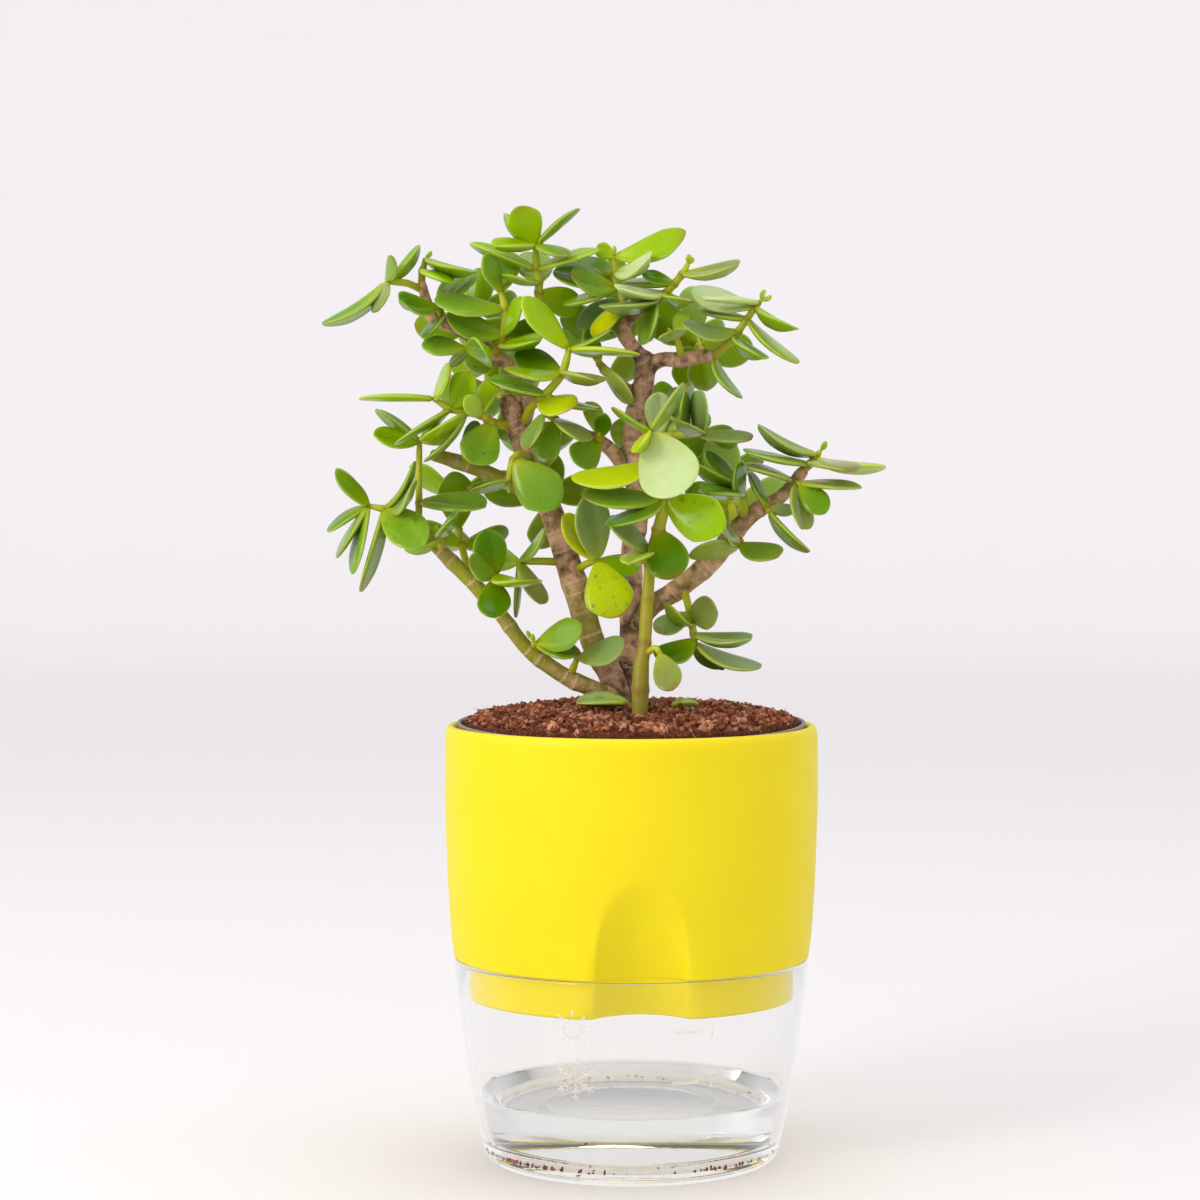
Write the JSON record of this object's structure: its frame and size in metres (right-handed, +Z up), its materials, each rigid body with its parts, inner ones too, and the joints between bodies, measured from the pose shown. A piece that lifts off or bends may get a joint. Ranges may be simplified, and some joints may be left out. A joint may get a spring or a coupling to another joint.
{
  "type": "potted jade plant",
  "caption": "Small branching jade plant with thick spoon-shaped leaves in a two-part self-watering planter with a clear reservoir.",
  "frame": {"origin": "centre of the planter's flat base, on the surface that it stands on", "axes": "+Z up along the planter's axis; -Y towards the front, where the pouring scoop is; +X to the right seen from the front"},
  "size_m": [0.1647, 0.1116, 0.2812],
  "materials": {
    "clear_plastic": "clear, glossy, lightly ribbed at the base",
    "water": "still water",
    "yellow_plastic": "satin lemon yellow moulded plastic",
    "grey_plastic": "thin grey nursery-pot plastic",
    "soil": "coarse reddish-brown coir",
    "woody_stem": "brown-purple bark with leaf scars",
    "green_stem": "smooth olive green stem",
    "leaf": "smooth fleshy green leaf with a pale edge"
  },
  "bodies": {
    "root": {"reservoir": "clear_plastic", "water": "water", "outer_pot": "yellow_plastic", "grow_pot": "grey_plastic", "soil": "soil", "wood": "woody_stem", "front_stem": "green_stem", "spray_front": "leaf", "spray_round_leaf": "leaf", "spray_trunk_yellow": "leaf", "spray_yellow_stalk": "leaf", "spray_left_reach": "leaf", "spray_left_crown_middle": "leaf", "spray_top": "leaf", "spray_far_left": "leaf", "spray_left_crown": "leaf", "spray_left_fork": "leaf", "spray_left_under": "leaf", "spray_centre_crown": "leaf", "spray_centre_right_crown": "leaf", "spray_right_crown": "leaf", "spray_right_crown_inner": "leaf", "spray_inner_fork": "leaf", "spray_left_upright": "leaf", "spray_left_drooping": "leaf", "spray_side_stub": "leaf", "spray_inner_left": "leaf", "spray_inner_middle": "leaf", "spray_grey_green": "leaf", "spray_right_inner": "leaf", "spray_right_tip": "leaf", "spray_right_tip_low": "leaf", "spray_right_arm": "leaf", "spray_right_elbow": "leaf", "spray_right_hanging": "leaf", "spray_front_drop": "leaf", "spray_trunk_left": "leaf", "spray_low_left": "leaf", "spray_low_stub": "leaf", "spray_low_upright": "leaf", "spray_left_arm_buds": "leaf", "spray_back_1": "leaf", "spray_back_2": "leaf", "spray_back_3": "leaf", "spray_back_4": "leaf", "spray_back_5": "leaf", "spray_back_6": "leaf", "spray_back_7": "leaf", "spray_back_8": "leaf", "fallen_leaf_left": "leaf", "fallen_leaf_right": "leaf"}
  },
  "joints": []
}
